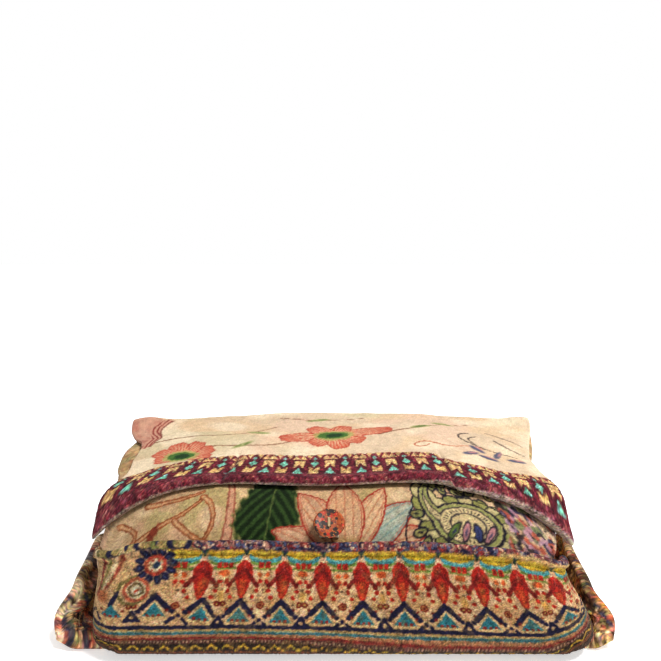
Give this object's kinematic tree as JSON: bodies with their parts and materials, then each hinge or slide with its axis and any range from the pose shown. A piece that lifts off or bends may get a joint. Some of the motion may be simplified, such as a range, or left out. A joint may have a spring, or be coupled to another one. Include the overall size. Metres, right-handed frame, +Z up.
{
  "type": "folded travel blanket in its own pouch",
  "caption": "Plush printed travel blanket, folded back and forth and tucked into a matching pouch with an open flap and a wooden button.",
  "frame": {"origin": "middle of the footprint, on the surface that the pack lies on", "axes": "+X along the pack's width, -Y towards the pocket's mouth, +Z up"},
  "size_m": [0.4384, 0.2646, 0.1295],
  "materials": {
    "blanket_plush": "printed velour with a short nap",
    "pouch_plush": "printed velour with a short nap",
    "border_plush": "printed velour with a short nap",
    "cream_tape": "plain woven tape",
    "printed_wood": "printed and lacquered",
    "cream_thread": "waxed thread"
  },
  "bodies": {
    "root": {"folded_blanket": "blanket_plush", "pouch_back_and_flap": "pouch_plush", "pouch_pocket": "border_plush", "button_tab": "cream_tape", "button": "printed_wood", "button_thread": "cream_thread"}
  },
  "joints": []
}
